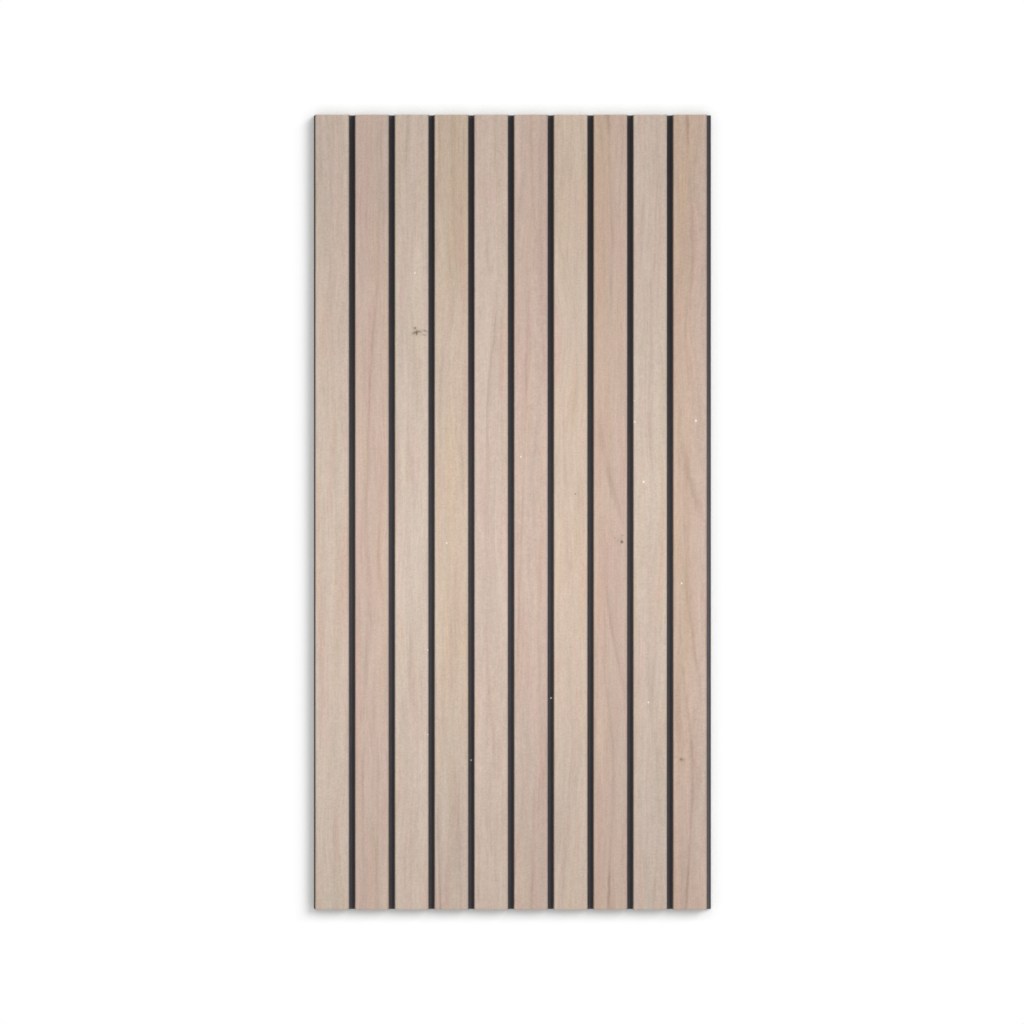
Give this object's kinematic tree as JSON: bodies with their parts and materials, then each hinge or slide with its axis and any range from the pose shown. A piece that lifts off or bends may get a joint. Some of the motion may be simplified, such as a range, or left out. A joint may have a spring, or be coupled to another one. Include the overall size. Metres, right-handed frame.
{
  "type": "foam wall panel",
  "caption": "Flat rectangular foam wall panel pressed into long wood-print slats with dark straight grooves between them, for gluing to a wall by its flat back beside further panels.",
  "frame": {"origin": "middle of the flat back", "axes": "+Z out of the printed face, +Y along the slats, +X across them towards the wider lip"},
  "size_m": [0.3, 0.6, 0.007],
  "materials": {
    "printed_foam": "matt wood-grain print on the slats, charcoal in the grooves, bare off-white foam on the back and the cut edges"
  },
  "bodies": {
    "root": {"foam_panel": "printed_foam"}
  },
  "joints": []
}
